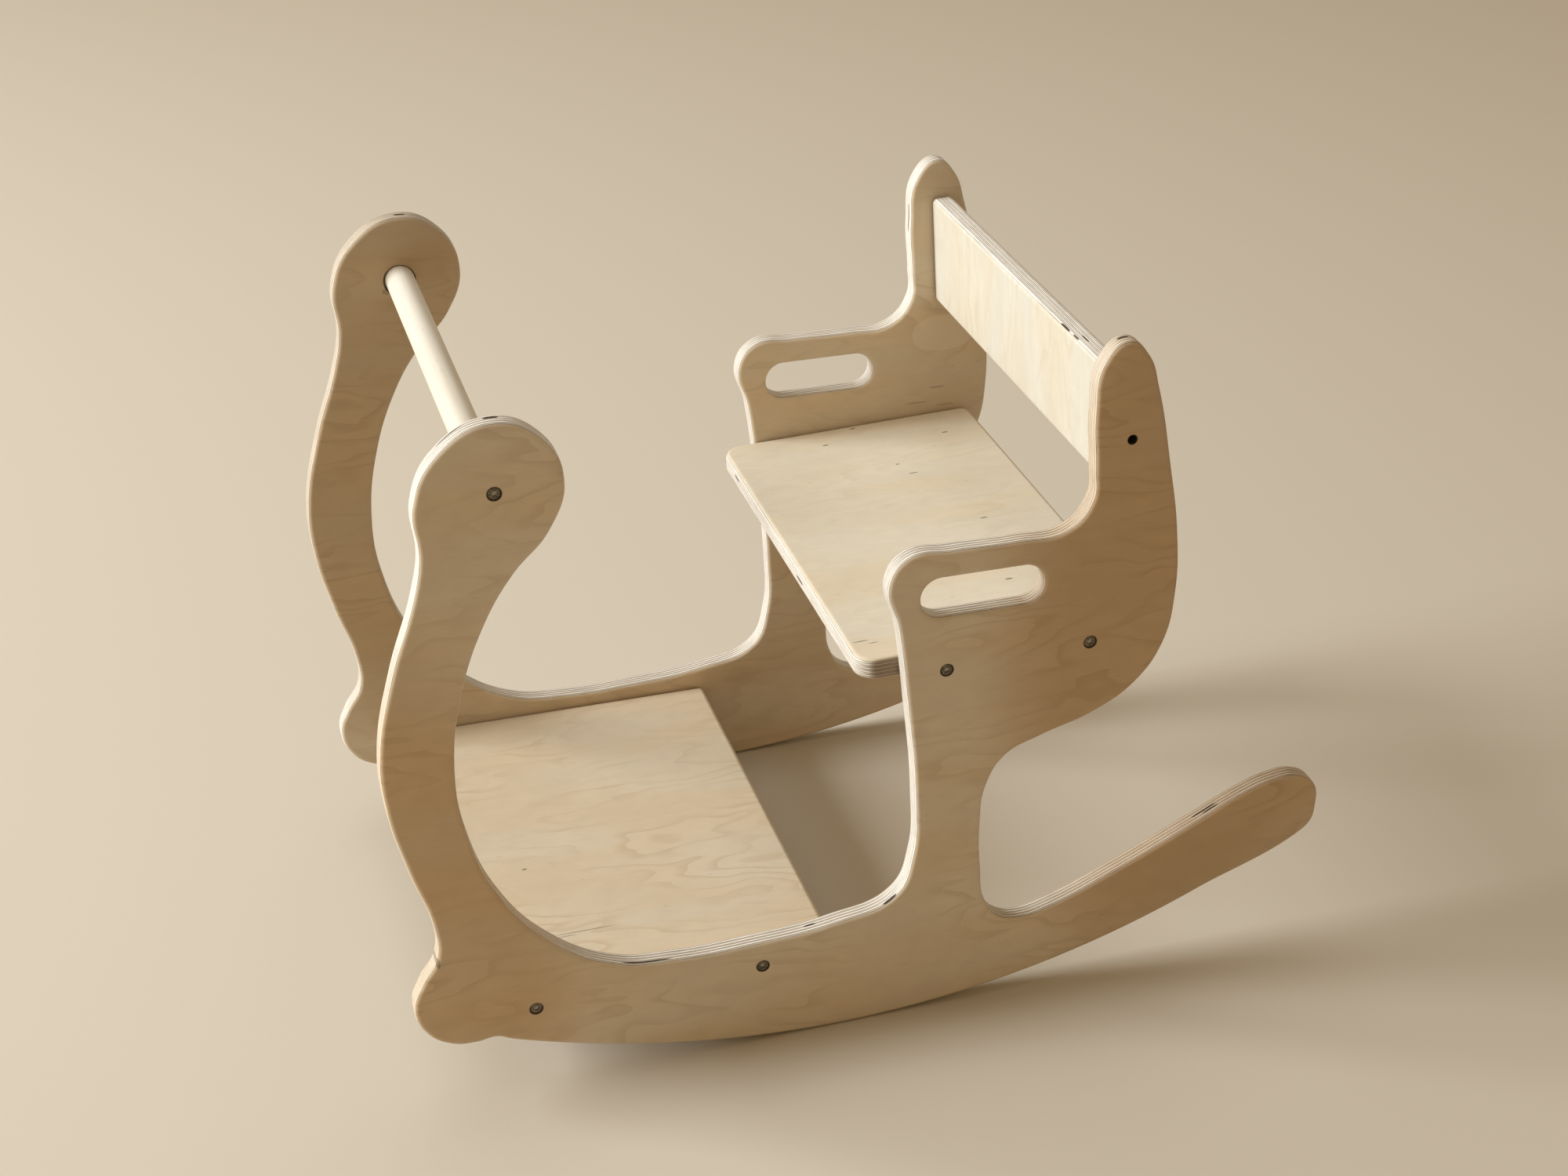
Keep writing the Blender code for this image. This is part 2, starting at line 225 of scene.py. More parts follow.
class Shader:
    """A material under construction, with one method for every kind of node."""

    def __init__(self, name: str) -> None:
        """Start an empty Principled material.

        Args:
            name: The material's name.
        """
        self.material = bpy.data.materials.new(name)
        self.material.use_nodes = True
        self.tree = self.material.node_tree
        self.surface = self.tree.nodes["Principled BSDF"]

    def node(self, kind: str, settings: dict | None = None, values: dict | None = None,
             output: str | int = 0) -> Wire:
        """Add a node.

        Args:
            kind: The node's type.
            settings: Attributes that are set first.
            values: Numbers, colours or wires, by socket name, identifier or number.
            output: The output that is wanted, by name, identifier or number.

        Returns:
            The wanted output.
        """
        made = self.tree.nodes.new(kind)
        for key, value in (settings or {}).items():
            setattr(made, key, value)
        for key, value in (values or {}).items():
            self.feed(self._socket(made.inputs, key), value)
        return Wire(self, self._socket(made.outputs, output))

    @staticmethod
    def _socket(sockets: Iterable, key: str | int) -> bpy.types.NodeSocket:
        """Return a socket by its number, its identifier or its name."""
        if isinstance(key, int):
            return sockets[key]
        for socket in sockets:
            if socket.identifier == key:
                return socket
        return sockets[key]

    def feed(self, socket: bpy.types.NodeSocket, value: object) -> None:
        """Link a wire to a socket, or set the socket's own value."""
        if isinstance(value, Wire):
            self.tree.links.new(value.socket, socket)
        else:
            socket.default_value = value

    def vector(self, x: Wire | float, y: Wire | float, z: Wire | float) -> Wire:
        """Return a vector of three values."""
        return self.node("ShaderNodeCombineXYZ", {}, {"X": x, "Y": y, "Z": z})

    def parts(self, vector: Wire) -> tuple[Wire, Wire, Wire]:
        """Return the three values of a vector."""
        split = self.node("ShaderNodeSeparateXYZ", {}, {"Vector": vector})
        outputs = split.socket.node.outputs
        return split, Wire(self, outputs["Y"]), Wire(self, outputs["Z"])

    def noise(self, vector: Wire, scale: float, detail: float = 2.0, rough: float = 0.5) -> Wire:
        """Return a noise value between 0 and 1.

        Args:
            vector: Where the noise is read.
            scale: Noise cells for each unit of the vector.
            detail: Octaves.
            rough: Strength of each octave over the last.

        Returns:
            The noise.
        """
        return self.node("ShaderNodeTexNoise", {"noise_dimensions": "3D"},
                         {"Vector": vector, "Scale": scale, "Detail": detail, "Roughness": rough},
                         "Fac")

    def blend(self, factor: Wire | float, first: object, second: object,
              kind: str = "MIX") -> Wire:
        """Return a mix of two colours.

        Args:
            factor: 0 for the first colour, 1 for the second.
            first: A colour or a wire.
            second: A colour or a wire.
            kind: The blend type.

        Returns:
            The mixed colour.
        """
        return self.node("ShaderNodeMix", {"data_type": "RGBA", "blend_type": kind},
                         {"Factor_Float": factor, "A_Color": first, "B_Color": second},
                         "Result_Color")

    def finish(self, constants: dict, colour: Wire | None = None, roughness: Wire | None = None,
               height: Wire | None = None, relief: float = 0.0) -> bpy.types.Material:
        """Wire the surface up.

        Args:
            constants: Values that are the same all over, by the surface's socket names.
            colour: The varying base colour.
            roughness: The varying roughness.
            height: Height for the bump, from 0 to 1.
            relief: The bump's depth in metres.

        Returns:
            The finished material.
        """
        for key, value in constants.items():
            self.surface.inputs[key].default_value = value
        if colour is not None:
            self.feed(self.surface.inputs["Base Color"], colour)
        if roughness is not None:
            self.feed(self.surface.inputs["Roughness"], roughness)
        if height is not None:
            bump = self.node("ShaderNodeBump", {}, {"Height": height, "Distance": relief,
                                                    "Strength": 1.0}, "Normal")
            self.feed(self.surface.inputs["Normal"], bump)
        return self.material


@dataclass(frozen=True)
class Mark:
    """A short dark pore, split or void in the wood; also used for the painted shade round the screw
    holes.

    Attributes:
        along: Place along the grain, in the board's millimetres.
        across: Place across the grain.
        length: Half its length.
        width: Half its width.
        depth: The place across the board's thickness, or None for a mark on a face.
        strength: How dark it is, from 0 to 1.
    """

    along: float
    across: float
    length: float
    width: float
    depth: float | None = None
    strength: float = 0.8


@dataclass(frozen=True)
class Shade:
    """A broad, soft-edged area of painted shade, where the wood is made darker and warmer.

    Attributes:
        along: Its middle in millimetres along the grain.
        across: Its middle in millimetres across the grain.
        length: Half its length.
        width: Half its width.
        tone: What the wood's colour is multiplied by there.
    """

    along: float
    across: float
    length: float
    width: float
    tone: Three


# Painted shade on the panels' faces: soft areas made darker and warmer.
LEFT_PAINTED_SHADES = (Shade(-458.0, 280.0, 160.0, 320.0, (0.80, 0.69, 0.57)),
               Shade(70.0, 110.0, 110.0, 260.0, (0.88, 0.78, 0.66)))
RIGHT_PAINTED_SHADES = (Shade(20.0, 350.0, 120.0, 320.0, (0.76, 0.70, 0.62)),)
LEFT_MARKS = (
    Mark(-2.0, 476.6, 5.0, 1.6, -2.0, 1.0), Mark(22.5, 468.5, 11.0, 0.7, -2.2, 1.0),
    Mark(-471.0, 117.0, 10.0, 1.0, 0.0, 1.0), Mark(-475.0, 119.0, 7.0, 0.8, 2.2, 1.0),
    Mark(-244.0, 94.6, 6.0, 1.1, 5.2, 1.0), Mark(-190.0, 81.4, 4.5, 1.0, -0.2, 1.0),
    Mark(-78.0, 79.5, 18.0, 0.7, 4.1, 1.0), Mark(-389.0, 476.4, 4.0, 1.3, -1.2, 1.0),
    Mark(56.5, 110.0, 1.5, 4.0, None, 0.5))
RIGHT_MARKS = (
    Mark(-3.3, 476.6, 4.5, 1.5, 0.5, 1.0), Mark(-371.0, 433.5, 12.0, 0.8, 2.6, 1.0),
    Mark(-394.0, 298.0, 7.0, 1.0, None, 0.30), Mark(-378.0, 287.0, 10.0, 0.8, None, 0.25),
    Mark(-401.0, 283.0, 8.0, 0.9, None, 0.22), Mark(10.7, 424.3, 3.5, 2.5, None, 0.3),
    Mark(-9.0, 423.0, 3.0, 3.5, None, 0.3))
SEAT_MARKS = (
    Mark(96.8, 34.9, 8.0, 0.9, -0.3, 1.0), Mark(96.7, -122.0, 7.0, 0.9, 2.0, 1.0),
    Mark(-3.4, -158.3, 2.5, 0.8), Mark(-65.8, -127.5, 2.5, 0.9), Mark(23.5, -139.2, 2.5, 0.9),
    Mark(-16.1, -90.3, 1.6, 0.7), Mark(-22.2, -73.1, 4.0, 0.6), Mark(-45.4, 9.7, 3.0, 0.7),
    Mark(87.0, 138.7, 6.0, 0.5), Mark(80.0, 143.0, 4.0, 0.4), Mark(-30.5, 96.6, 3.0, 0.9))
FOOT_MARKS = (Mark(57.2, 36.6, 2.0, 0.8), Mark(33.0, 117.3, 24.0, 0.45, None, 0.6),
              Mark(46.0, 120.0, 9.0, 0.35, None, 0.6))
BACK_MARKS = (
    Mark(40.0, 86.0, 8.0, 0.7, -5.6, 1.0), Mark(40.0, 103.0, 5.0, 0.5, -5.4, 1.0),
    Mark(40.0, 108.0, 6.0, 0.6, -1.1, 1.0))


@dataclass(frozen=True)
class Birch:
    """Lacquered birch plywood: veneered faces, and layers that show on every cut edge.

    Attributes:
        name: The material's name.
        place: The board's own placement in the frame.
        upright: True for a side panel, whose thickness runs along Y.
        face: Colour of the face veneer.
        figure: Colour of its growth lines.
        marks: Pores and voids at known places, and painted shade at the screw holes.
        patches: Oval veneer repairs: along, across, half length and half width.
        painted_shades: Broad soft areas of painted shade, darker and warmer.
        seed: Keeps two boards from having the same grain.
        rings: How many growth lines the figure has over its range.
        contrast: How strongly the growth lines show.
        ends: Half the board's width, where its ends meet the panels and get dark glue and painted
            shade, or None.
    """

    name: str
    place: Matrix
    upright: bool
    face: Three = (0.690, 0.590, 0.450)
    figure: Three = (0.480, 0.360, 0.230)
    marks: tuple[Mark, ...] = ()
    patches: tuple[Four, ...] = ()
    painted_shades: tuple[Shade, ...] = ()
    seed: float = 0.0
    rings: float = 13.0
    contrast: float = 0.38
    ends: float | None = None

    LAYERS = 11
    THICKNESS = 15.0
    LONG_GRAIN = (0.900, 0.855, 0.775, 1.0)
    END_GRAIN = (0.380, 0.300, 0.205, 1.0)
    GLUE = (0.130, 0.095, 0.060, 1.0)
    DARK = (0.050, 0.035, 0.022, 1.0)
    PORE = (0.300, 0.200, 0.120, 1.0)
    # Dark glue with painted shade, in the grooves where the boards meet the panels.
    JOINT = (0.200, 0.130, 0.075, 1.0)
    VENEER = 1.30

    def material(self) -> bpy.types.Material:
        """Build the material."""
        shader = Shader(self.name)
        source = shader.node("ShaderNodeTexCoord", output="Object")
        where = shader.node("ShaderNodeMapping", {"vector_type": "TEXTURE"}, {
            "Vector": source, "Location": self.place.to_translation(),
            "Rotation": self.place.to_euler(), "Scale": (MM, MM, MM)})
        along, across, depth = shader.parts(where)
        normal = shader.node("ShaderNodeTexCoord", output="Normal")
        facing = shader.parts(shader.node("ShaderNodeMapping", {"vector_type": "TEXTURE"}, {
            "Vector": normal, "Rotation": self.place.to_euler()}))
        if self.upright:
            across, depth = depth, across
            facing = (facing[0], facing[2], facing[1])
        face, fibre = self._veneer(shader, along, across, depth)
        edge = self._layers(shader, (along, across, depth), facing)
        cut = (abs(depth) - (self.THICKNESS / 2 - self.VENEER)).rise(0.04, -0.04)
        colour = shader.blend(cut, face, edge)
        if self.ends is not None:
            # Dark glue and painted shade in the groove at each end of the board.
            glue_and_shade_groove = abs(across).rise(self.ends - 2.6, self.ends - 0.3) * 0.75
            colour = shader.blend(glue_and_shade_groove, colour, self.JOINT)
        # Painted shade: broad soft areas made darker and warmer.
        for shade in self.painted_shades:
            reach = ((abs(along - shade.along) / shade.length) ** 2.0
                     + (abs(across - shade.across) / shade.width) ** 2.0)
            colour = shader.blend(reach.rise(1.10, 0.35), colour, (*shade.tone, 1.0),
                                  "MULTIPLY")
        colour = self._marked(shader, colour, along, across, depth)
        roughness = 0.46 + 0.10 * fibre + 0.08 * cut
        height = 0.6 * fibre + 0.4 * shader.noise(shader.vector(along, across, depth), 0.5)
        return shader.finish({"Specular IOR Level": 0.35}, colour, roughness, height, 0.00006)

    def _veneer(self, shader: Shader, along: Wire, across: Wire,
                depth: Wire) -> tuple[Wire, Wire]:
        """Return the face veneer's colour and its fibres, from 0 to 1.

        Args:
            shader: The material under construction.
            along: Millimetres along the grain.
            across: Millimetres across it.
            depth: Millimetres through the board.

        Returns:
            The colour and the fibres.
        """
        side = depth.rise(-0.5, 0.5) * 37.0 + self.seed
        sway = shader.noise(shader.vector(along * 0.020, across * 0.045, side), 1.0, 2.0)
        calm = shader.vector(along * 0.0045, across * 0.016 + sway * 0.22, side)
        figure = shader.noise(calm, 1.0, 3.0, 0.45)
        ring = (figure * self.rings) % 1.0
        line = ring.rise(0.50, 0.96) * ring.rise(1.0, 0.97)
        mottle = shader.noise(shader.vector(along * 0.06, across * 0.09, side), 1.0, 3.0, 0.55)
        blotch = shader.noise(shader.vector(along * 0.010, across * 0.018, side), 1.0, 2.0)
        tint = shader.noise(shader.vector(along * 0.006, across * 0.022, side + 9.0), 1.0, 1.0)
        fibre = shader.noise(shader.vector(along * 0.05, across * 1.1, side), 1.0, 3.0, 0.6)
        colour = shader.blend(tint.rise(0.35, 0.65), (*self.face, 1.0),
                              (self.face[0] * 1.0, self.face[1] * 0.95, self.face[2] * 0.88, 1.0))
        drawn = line * blotch.rise(0.34, 0.64) * self.contrast
        colour = shader.blend(drawn, colour, (*self.figure, 1.0))
        colour = shader.blend(fibre.rise(0.30, 0.75) * 0.14, colour, (*self.figure, 1.0))
        light = 0.86 + 0.14 * blotch + 0.14 * mottle
        colour = shader.blend(1.0, colour, shader.vector(light, light, light), "MULTIPLY")
        pores = shader.node("ShaderNodeTexVoronoi", {"voronoi_dimensions": "3D"}, {
            "Vector": shader.vector(along * 0.035, across * 0.20, side), "Scale": 1.0,
            "Randomness": 1.0}, "Distance")
        chance = shader.noise(shader.vector(along * 0.011, across * 0.05, side + 5.0), 1.0)
        pore = pores.rise(0.075, 0.045) * chance.rise(0.50, 0.62) * 0.45
        colour = shader.blend(pore, colour, self.PORE)
        for x, z, length, width in self.patches:
            shape = ((abs(along - x) / length) ** 2.4 + (abs(across - z) / width) ** 2.4)
            rim = abs(shape - 1.0).rise(0.10, 0.02)
            colour = shader.blend(shape.rise(1.04, 0.96) * 0.60, colour,
                                  (self.face[0] * 1.10, self.face[1] * 1.12, self.face[2] * 1.16,
                                   1.0))
            colour = shader.blend(rim * 0.15, colour, (*self.figure, 1.0))
        return colour, fibre

    def _layers(self, shader: Shader, place: tuple[Wire, Wire, Wire],
                facing: tuple[Wire, Wire, Wire]) -> Wire:
        """Return the colour of a cut edge: light and dark layers with thin glue lines.

        Args:
            shader: The material under construction.
            place: Millimetres along the grain, across it and through the board.
            facing: The surface's normal in the same order.

        Returns:
            The colour.
        """
        along, across, depth = place
        wave = shader.noise(shader.vector(along * 0.02, across * 0.02, depth * 0.3 + self.seed),
                            1.0, 2.0) - 0.5
        layer = ((depth + wave * 0.5) / self.THICKNESS + 0.5) * self.LAYERS
        inside = layer % 1.0
        odd = layer.floor() % 2.0
        # End grain darkens the layers that are cut across; on edges facing along the grain it is
        # kept at half strength, a painted highlight.
        end_on = abs(facing[0]) ** 1.5 * (1.0 - odd) * 0.5 + abs(facing[1]) ** 1.5 * odd
        grit = shader.noise(shader.vector(along * 0.35, across * 0.35, depth * 2.2), 1.0, 3.0, 0.65)
        tone = (end_on * 0.55 + (grit - 0.5) * 0.45).rise(-0.05, 0.80)
        colour = shader.blend(tone, self.LONG_GRAIN, self.END_GRAIN)
        gap = abs(inside - 0.5).rise(0.29, 0.43)
        broken = shader.noise(shader.vector(along * 0.05, across * 0.05, layer.floor() * 3.7
                                            + self.seed), 1.0, 2.0)
        return shader.blend(gap * (0.55 + 0.45 * broken.rise(0.38, 0.60)), colour, self.GLUE)

    def _marked(self, shader: Shader, colour: Wire, along: Wire, across: Wire,
                depth: Wire) -> Wire:
        """Return the colour with the marks drawn in.

        Args:
            shader: The material under construction.
            colour: The wood's colour.
            along: Millimetres along the grain.
            across: Millimetres across it.
            depth: Millimetres through the board.

        Returns:
            The colour.
        """
        total = None
        for mark in self.marks:
            spot = abs(along - mark.along) / mark.length
            if mark.depth is None:
                level = (across - mark.across) / mark.width
                shape = (spot ** 2.0 + abs(level) ** 2.0).rise(1.0, 0.6)
            else:
                radius = ((along - mark.along) ** 2.0 + (across - mark.across) ** 2.0) ** 0.5
                level = abs(depth - mark.depth) / mark.width + (radius / mark.length) ** 4.0
                shape = level.rise(1.0, 0.75)
            shape = shape * mark.strength
            total = shape if total is None else total.larger(shape)
        return colour if total is None else shader.blend(total, colour, self.DARK)


@dataclass(frozen=True)
class Beech:
    """A turned hardwood dowel under clear lacquer, its grain along Y."""

    name: str = "beech_dowel"
    pale: Four = (0.740, 0.700, 0.620, 1.0)
    deep: Four = (0.640, 0.560, 0.430, 1.0)
    flecks: Four = (0.460, 0.340, 0.220, 1.0)

    def material(self) -> bpy.types.Material:
        """Build the material."""
        shader = Shader(self.name)
        x, y, z = shader.parts(shader.node("ShaderNodeTexCoord", output="Object"))
        fibre = shader.noise(shader.vector(x * 900.0, y * 22.0, z * 900.0), 1.0, 3.0, 0.6)
        broad = shader.noise(shader.vector(x * 120.0, y * 5.0, z * 120.0), 1.0, 2.0)
        fleck = shader.noise(shader.vector(x * 1500.0, y * 130.0, z * 1500.0), 1.0, 1.0)
        colour = shader.blend(0.45 * fibre + 0.55 * broad.rise(0.3, 0.7), self.pale, self.deep)
        colour = shader.blend(fleck.rise(0.66, 0.76) * 0.35, colour, self.flecks)
        return shader.finish({"Specular IOR Level": 0.4}, colour, 0.42 + 0.12 * fibre, fibre,
                             0.00003)


@dataclass(frozen=True)
class Zinc:
    """Dull zinc plating on the screw's head, with painted shade on its rim and upper recess, and a
    painted glint in the recess.
    """

    name: str = "zinc_plating"
    dull: Four = (0.070, 0.060, 0.045, 1.0)
    worn: Four = (0.210, 0.175, 0.125, 1.0)
    painted_recess_shade: Four = (0.012, 0.010, 0.008, 1.0)
    painted_recess_glint: Four = (0.950, 0.930, 0.880, 1.0)

    def material(self) -> bpy.types.Material:
        """Build the material."""
        shader = Shader(self.name)
        where = shader.node("ShaderNodeTexCoord", output="Object")
        cloud = shader.noise(where, 700.0, 3.0, 0.6)
        fine = shader.noise(where, 4200.0, 2.0)
        colour = shader.blend(cloud.rise(0.3, 0.7), self.dull, self.worn)
        out = abs(shader.parts(where)[1]) * 1000.0
        # Painted shade: the head's rim and the upper walls of its recess are made near black.
        colour = shader.blend(out.rise(179.4, 179.1), colour, self.painted_recess_shade)
        # Painted glint: the recess's lower walls and floor are made pale and not metallic.
        colour = shader.blend(out.rise(178.7, 178.3), colour, self.painted_recess_glint)
        shader.feed(shader.surface.inputs["Metallic"], out.rise(178.3, 178.7))
        return shader.finish({}, colour, 0.20 + 0.14 * cloud, fine, 0.00001)


@dataclass(frozen=True)
class Paper:
    """The plain pale floor."""

    name: str = "pale_floor"
    colour: Four = (0.62, 0.555, 0.46, 1.0)

    def material(self) -> bpy.types.Material:
        """Build the material."""
        shader = Shader(self.name)
        shader.surface.inputs["Base Color"].default_value = self.colour
        return shader.finish({"Roughness": 0.6, "Specular IOR Level": 0.3})


class Workshop:
    """Tools that every sub-assembly shares."""

    BEND_STEPS = 10
    ROUND_OVER_STEPS = 4
    WELD = 0.000005
    SHARP = math.radians(38.0)
    FACE_WEIGHT = 80

    @staticmethod
    def link(name: str, data: bpy.types.ID) -> bpy.types.Object:
        """Return a new object in the scene that holds a mesh, a curve, a light or a camera."""
        piece = bpy.data.objects.new(name, data)
        bpy.context.scene.collection.objects.link(piece)
        return piece

    @classmethod
    def baked(cls, piece: bpy.types.Object) -> bpy.types.Object:
        """Replace an object by its evaluated mesh, with no modifiers left.

        Args:
            piece: A mesh or curve object.

        Returns:
            A mesh object of the same name, unturned and at the origin.
        """
        bpy.context.view_layer.update()
        shown = piece.evaluated_get(bpy.context.evaluated_depsgraph_get())
        mesh = bpy.data.meshes.new_from_object(shown)
        mesh.transform(piece.matrix_world)
        name = piece.name
        bpy.data.objects.remove(piece)
        mesh.name = name
        return cls.link(name, mesh)

    @classmethod
    def welded(cls, mesh: bpy.types.Mesh) -> None:
        """Merge a mesh's doubled vertices and turn its faces outwards."""
        solid = bmesh.new()
        solid.from_mesh(mesh)
        bmesh.ops.remove_doubles(solid, verts=solid.verts, dist=cls.WELD)
        bmesh.ops.recalc_face_normals(solid, faces=solid.faces)
        solid.to_mesh(mesh)
        solid.free()

    @classmethod
    def plate(cls, name: str, outlines: list[tuple[list[Vector], bool]], thickness: float,
              edge: float, placement: Matrix) -> bpy.types.Object:
        """Make a plate with rounded-over edges from flat outlines.

        Args:
            name: The piece's name.
            outlines: Closed outlines in metres, each smooth or with straight sides.
            thickness: The plate's thickness in metres.
            edge: The radius of the round-over in metres.
            placement: Where the outlines' plane goes in the frame.

        Returns:
            The plate.
        """
        curve = bpy.data.curves.new(name, "CURVE")
        curve.dimensions = "2D"
        curve.fill_mode = "BOTH"
        curve.resolution_u = cls.BEND_STEPS
        curve.extrude = thickness / 2 - edge
        curve.bevel_depth = edge
        curve.bevel_resolution = cls.ROUND_OVER_STEPS
        curve.offset = -edge
        for points, smooth in outlines:
            spline = curve.splines.new("BEZIER" if smooth else "POLY")
            row = spline.bezier_points if smooth else spline.points
            row.add(len(points) - 1)
            for target, point in zip(row, points):
                target.co = (point.x, point.y, 0.0) if smooth else (point.x, point.y, 0.0, 1.0)
                if smooth:
                    target.handle_left_type = "AUTO"
                    target.handle_right_type = "AUTO"
            spline.use_cyclic_u = True
        piece = cls.baked(cls.link(name, curve))
        cls.welded(piece.data)
        piece.data.transform(placement)
        return piece

    @classmethod
    def turned(cls, name: str, profile: list[tuple[float, float]], sides: int,
               placement: Matrix) -> bpy.types.Object:
        """Turn a profile about Z.

        Args:
            name: The piece's name.
            profile: Radius and height in millimetres, from one pole to the other.
            sides: Facets round the axis.
            placement: Where the turned piece goes in the frame.

        Returns:
            The turned piece.
        """
        solid = bmesh.new()
        verts = [solid.verts.new((radius * MM, 0.0, height * MM)) for radius, height in profile]
        edges = [solid.edges.new(pair) for pair in zip(verts, verts[1:])]
        bmesh.ops.spin(solid, geom=verts + edges, cent=(0.0, 0.0, 0.0), axis=(0.0, 0.0, 1.0),
                       dvec=(0.0, 0.0, 0.0), angle=math.tau, steps=sides, use_merge=True,
                       use_normal_flip=False, use_duplicate=False)
        bmesh.ops.remove_doubles(solid, verts=solid.verts, dist=0.000001)
        bmesh.ops.recalc_face_normals(solid, faces=solid.faces)
        mesh = bpy.data.meshes.new(name)
        solid.to_mesh(mesh)
        solid.free()
        mesh.transform(placement)
        return cls.link(name, mesh)

    @classmethod
    def cut(cls, piece: bpy.types.Object, cutters: list[bpy.types.Object]) -> bpy.types.Object:
        """Cut solids out of a piece and remove them.

        Args:
            piece: The piece.
            cutters: The solids.

        Returns:
            The cut piece.
        """
        for cutter in cutters:
            step = piece.modifiers.new(cutter.name, "BOOLEAN")
            step.operation = "DIFFERENCE"
            step.solver = "EXACT"
            step.object = cutter
        piece = cls.baked(piece)
        for cutter in cutters:
            bpy.data.objects.remove(cutter)
        return piece

    @classmethod
    def finish(cls, piece: bpy.types.Object, node: str, slot: str,
               material: bpy.types.Material) -> None:
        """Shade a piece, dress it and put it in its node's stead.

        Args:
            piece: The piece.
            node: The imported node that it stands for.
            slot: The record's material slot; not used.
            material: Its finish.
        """
        piece.data.shade_smooth()
        piece.data.set_sharp_from_angle(angle=cls.SHARP)
        even = piece.modifiers.new("even_normals", "WEIGHTED_NORMAL")
        even.keep_sharp = True
        even.weight = cls.FACE_WEIGHT
        piece.data.materials.clear()
        piece.data.materials.append(material)
        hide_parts(node)
        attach(piece, "root")
        LOG.info("%s: %d faces", piece.name, len(piece.data.polygons))


@dataclass(frozen=True)
class Screw:
    """A countersunk screw, in millimetres.

    Attributes:
        head: The head's radius.
        rim: The height of the head's straight rim.
        head_depth: From the head's face to the shank.
        shank: The shank's radius.
        length: The whole length.
        tip: The length of the pointed end.
        sink: How deep the head lies under the panel's face.
        key: The drive recess's radius at its corners.
        key_depth: The drive recess's depth.
        play: Clearance round the screw in its hole.
    """

    head: float = 4.0
    rim: float = 0.8
    head_depth: float = 2.6
    shank: float = 2.5
    length: float = 50.0
    tip: float = 3.0
    sink: float = 0.6
    key: float = 1.75
    key_depth: float = 2.6
    play: float = 0.3

    def profile(self) -> list[tuple[float, float]]:
        """Return the screw's profile, from the middle of its head to its tip."""
        return [(0.0, 0.0), (self.head - 0.45, 0.0), (self.head - 0.15, -0.10),
                (self.head, -0.38), (self.head, -self.rim), (self.shank, -self.head_depth),
                (self.shank, self.tip - self.length), (0.0, -self.length)]

    def hole(self) -> list[tuple[float, float]]:
        """Return the hole's profile, open above the panel's face."""
        head, shank = self.head + self.play, self.shank + self.play
        mouth = self.sink + 2.0
        return [(0.0, mouth), (head + 1.7, mouth), (head, self.sink - 0.30),
                (head, -self.rim - self.play),
                (shank, -self.head_depth - self.play), (shank, -self.length - self.play),
                (0.0, -self.length - self.play)]

    def recess(self) -> list[tuple[float, float]]:
        """Return the profile of the six-sided drive recess."""
        return [(0.0, 1.0), (self.key, 1.0), (self.key, -self.key_depth),
                (0.0, -self.key_depth - 0.5)]


@dataclass
class Fastening:
    """One screw place, seen from both sides of the horse.

    Attributes:
        name: The place's name.
        size: The screw.
        x: Place along the horse in the drawing, in millimetres.
        z: Height in the drawing.
    """

    name: str
    size: Screw
    x: float
    z: float

    def placement(self, stance: Stance, side: Side, half_width: float) -> Matrix:
        """Return the screw's placement, its head outwards.

        Args:
            stance: Where the drawing stands.
            side: The panel that it is driven through.
            half_width: From the horse's middle to the panel's outer face, in millimetres.

        Returns:
            The 4x4 placement.
        """
        head = side.value * (half_width - self.size.sink)
        turn = Matrix.Rotation(-side.value * math.pi / 2, 4, "X")
        return stance.matrix(self.x, head, self.z) @ turn

    def bore(self, stance: Stance, side: Side, half_width: float) -> bpy.types.Object:
        """Return a cutter for the screw's hole."""
        return Workshop.turned(f"hole_{self.name}_{side.word}", self.size.hole(), SCREW_SIDES,
                               self.placement(stance, side, half_width))

    def build(self, stance: Stance, side: Side, half_width: float,
              material: bpy.types.Material) -> None:
        """Build the screw with its drive recess.

        Args:
            stance: Where the drawing stands.
            side: The panel that it is driven through.
            half_width: From the horse's middle to the panel's outer face, in millimetres.
            material: Its plating.
        """
        node = f"screw_{self.name}_{side.word}"
        place = self.placement(stance, side, half_width)
        body = Workshop.turned(node + "_turned", self.size.profile(), SCREW_SIDES, place)
        spin = Matrix.Rotation(math.radians(17.0 * (self.x % 7.0)), 4, "Z")
        key = Workshop.turned(node + "_key", self.size.recess(), KEY_SIDES, place @ spin)
        body = Workshop.cut(body, [key])
        Workshop.finish(body, node, "zinc_screw", material)


